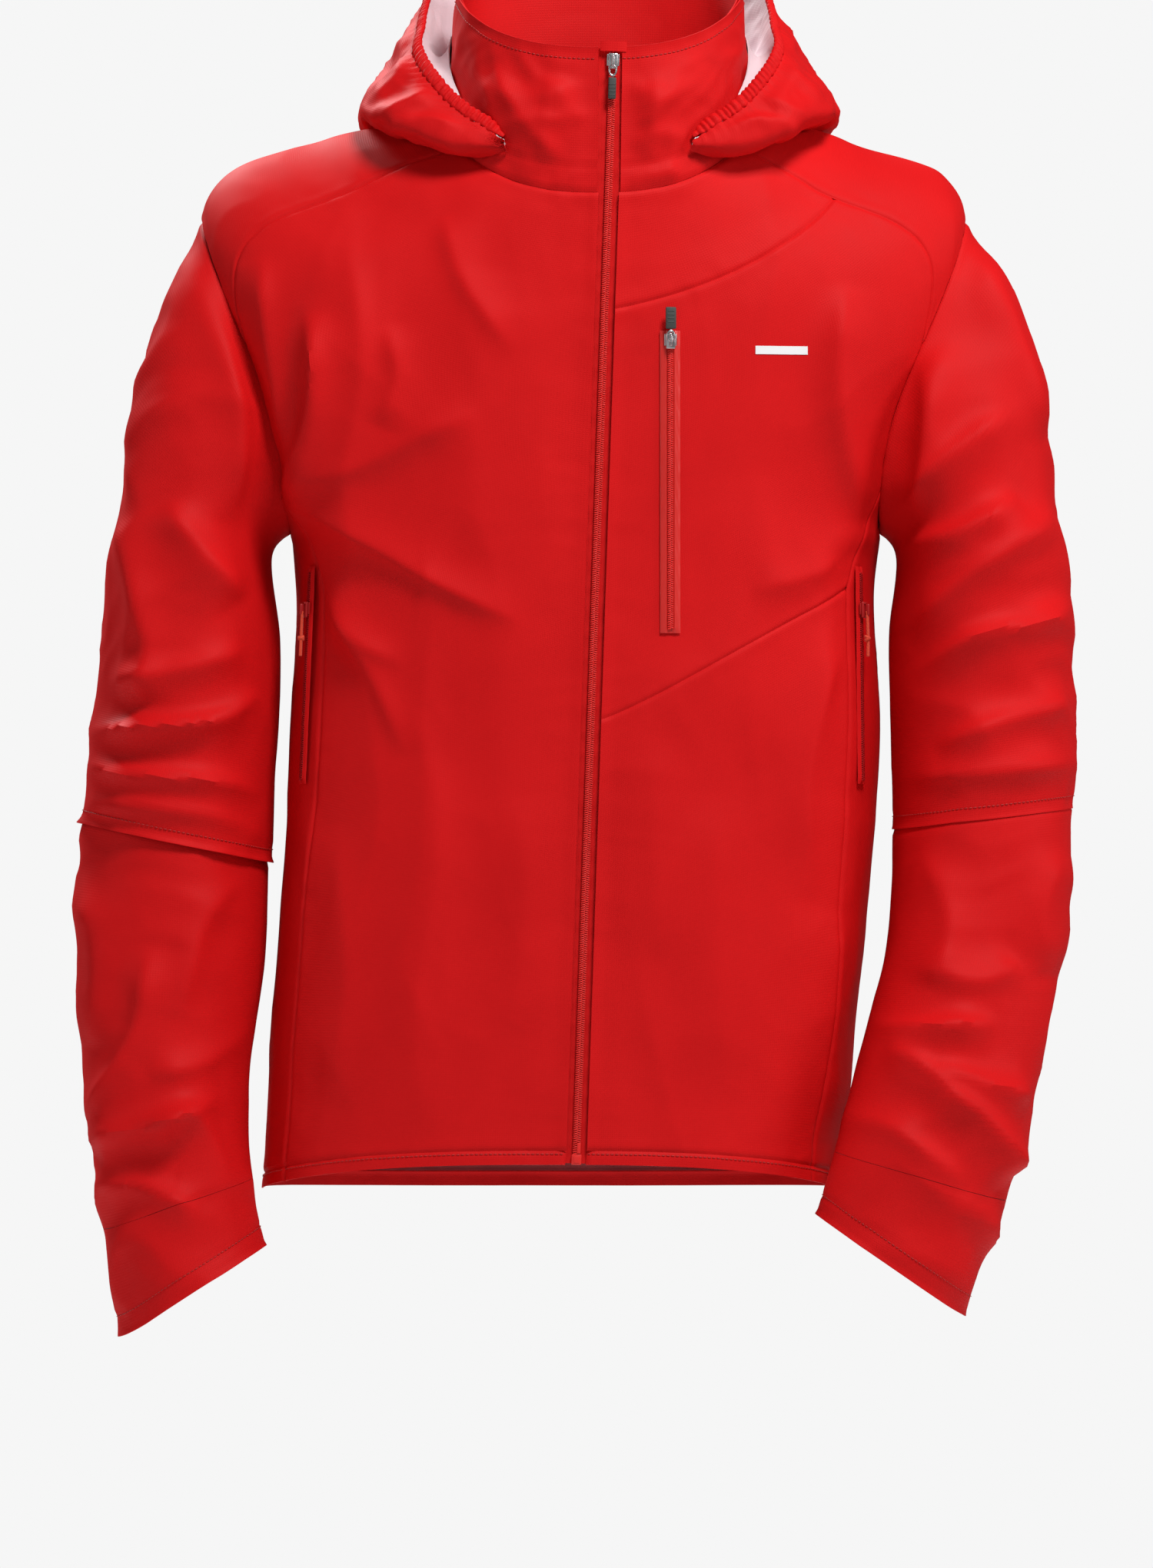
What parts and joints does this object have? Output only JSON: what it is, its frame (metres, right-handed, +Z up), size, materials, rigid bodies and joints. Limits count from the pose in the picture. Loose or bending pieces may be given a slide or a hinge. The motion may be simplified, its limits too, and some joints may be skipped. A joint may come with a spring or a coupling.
{
  "type": "hardshell jacket",
  "caption": "Hip-length waterproof shell jacket, zipped up, with a standing collar, a hood worn down, chest pocket zip, side vent zips and hanging sleeves.",
  "frame": {"origin": "where a hook carries the hang loop, at the middle of the inside of the back neck", "axes": "+Z up as the jacket hangs, -Y to the wearer's front, +X to the wearer's left"},
  "size_m": [0.6908, 0.3229, 0.9479],
  "materials": {
    "shell_fabric": "matte laminated plain weave, red",
    "lining_fabric": "pale pink-white backer",
    "zip_plastic": "moulded red coil on coated tape",
    "slider_metal": "cast and tumbled, satin",
    "pull_rubber": "moulded matte black",
    "cord_fabric": "braided red-orange cord",
    "white_print": "white transfer film"
  },
  "bodies": {
    "torso": {"back_hem_band": "shell_fabric", "back_panel": "shell_fabric", "back_yoke": "shell_fabric", "chest_mark": "white_print", "chest_pocket_bag": "lining_fabric", "chest_zip_coil": "zip_plastic", "chest_zip_tape": "zip_plastic", "collar": "shell_fabric", "collar_lining": "shell_fabric", "hang_loop": "shell_fabric", "hood_centre_panel": "shell_fabric", "hood_left_panel": "shell_fabric", "hood_lining": "lining_fabric", "hood_right_panel": "shell_fabric", "hood_rim_band": "shell_fabric", "left_chest_panel": "shell_fabric", "left_hem_band": "shell_fabric", "left_lower_panel": "shell_fabric", "left_shoulder_yoke": "shell_fabric", "left_side_panel": "shell_fabric", "left_upper_panel": "shell_fabric", "left_vent_zip_coil": "zip_plastic", "left_vent_zip_tape": "zip_plastic", "left_zip_coil": "zip_plastic", "left_zip_tape": "zip_plastic", "left_zip_top_stop": "zip_plastic", "neck_label": "white_print", "right_front_panel": "shell_fabric", "right_hem_band": "shell_fabric", "right_shoulder_yoke": "shell_fabric", "right_side_panel": "shell_fabric", "right_vent_zip_coil": "zip_plastic", "right_vent_zip_tape": "zip_plastic", "right_zip_coil": "zip_plastic", "right_zip_tape": "zip_plastic", "right_zip_top_stop": "zip_plastic", "storm_flap": "shell_fabric", "zip_garage": "shell_fabric", "zip_pin": "zip_plastic", "zip_retainer_box": "zip_plastic"},
    "chest_pull": {"chest_pull_grip": "pull_rubber", "chest_pull_link": "slider_metal"},
    "chest_slider": {"chest_zip_slider": "slider_metal"},
    "left_forearm": {"left_cuff": "shell_fabric", "left_lower_sleeve": "shell_fabric"},
    "left_upper_arm": {"left_upper_sleeve": "shell_fabric"},
    "left_vent_pull": {"left_vent_cord": "cord_fabric", "left_vent_cord_knot": "cord_fabric", "left_vent_cord_tail": "cord_fabric"},
    "left_vent_slider": {"left_vent_zip_slider": "slider_metal"},
    "main_pull": {"main_pull_grip": "pull_rubber", "main_pull_link": "slider_metal"},
    "main_slider": {"main_slider": "slider_metal"},
    "right_forearm": {"right_cuff": "shell_fabric", "right_lower_sleeve": "shell_fabric"},
    "right_upper_arm": {"right_upper_sleeve": "shell_fabric"},
    "right_vent_pull": {"right_vent_cord": "cord_fabric", "right_vent_cord_knot": "cord_fabric", "right_vent_cord_tail": "cord_fabric"},
    "right_vent_slider": {"right_vent_zip_slider": "slider_metal"}
  },
  "joints": [
    {"name": "main_zip_slide", "type": "slide", "parent": "torso", "child": "main_slider", "axis": [-0.0334, -0.0601, -0.9976], "range_m": [0, 0.735]},
    {"name": "main_pull_swing", "type": "hinge", "parent": "main_slider", "child": "main_pull", "pos_m": [0.02002, -0.16478, 0.01776], "axis": [-0.9994, 0, 0.0335], "range_deg": [0, 160]},
    {"name": "chest_zip_slide", "type": "slide", "parent": "torso", "child": "chest_slider", "axis": [0, -0.057, -0.9984], "range_m": [0, 0.185]},
    {"name": "chest_pull_swing", "type": "hinge", "parent": "chest_slider", "child": "chest_pull", "pos_m": [0.05955, -0.17832, -0.1747], "axis": [0.996, 0.0896, -0.0051], "range_deg": [0, 150]},
    {"name": "right_vent_slide", "type": "slide", "parent": "torso", "child": "right_vent_slider", "axis": [-0.0415, -0.0424, -0.9982], "range_m": [-0.018, 0.1]},
    {"name": "right_vent_pull_swing", "type": "hinge", "parent": "right_vent_slider", "child": "right_vent_pull", "pos_m": [-0.19422, -0.12494, -0.35745], "axis": [-0.5071, 0.8618, -0.0155], "range_deg": [0, 80]},
    {"name": "left_vent_slide", "type": "slide", "parent": "torso", "child": "left_vent_slider", "axis": [0.0094, -0.0425, -0.9991], "range_m": [-0.018, 0.1]},
    {"name": "left_vent_pull_swing", "type": "hinge", "parent": "left_vent_slider", "child": "left_vent_pull", "pos_m": [0.19533, -0.12494, -0.35762], "axis": [-0.5069, -0.8614, 0.0318], "range_deg": [0, 80]},
    {"name": "right_shoulder_raise", "type": "hinge", "parent": "torso", "child": "right_upper_arm", "pos_m": [-0.2665, -0.058, -0.084], "axis": [0, 1, 0], "range_deg": [0, 30]},
    {"name": "left_shoulder_raise", "type": "hinge", "parent": "torso", "child": "left_upper_arm", "pos_m": [0.2665, -0.058, -0.084], "axis": [0, -1, 0], "range_deg": [0, 30]},
    {"name": "right_elbow_bend", "type": "hinge", "parent": "right_upper_arm", "child": "right_forearm", "pos_m": [-0.283, -0.144, -0.514], "axis": [-1, 0, 0], "range_deg": [0, 45]},
    {"name": "left_elbow_bend", "type": "hinge", "parent": "left_upper_arm", "child": "left_forearm", "pos_m": [0.2775, -0.152, -0.4975], "axis": [-1, 0, 0], "range_deg": [0, 45]}
  ]
}
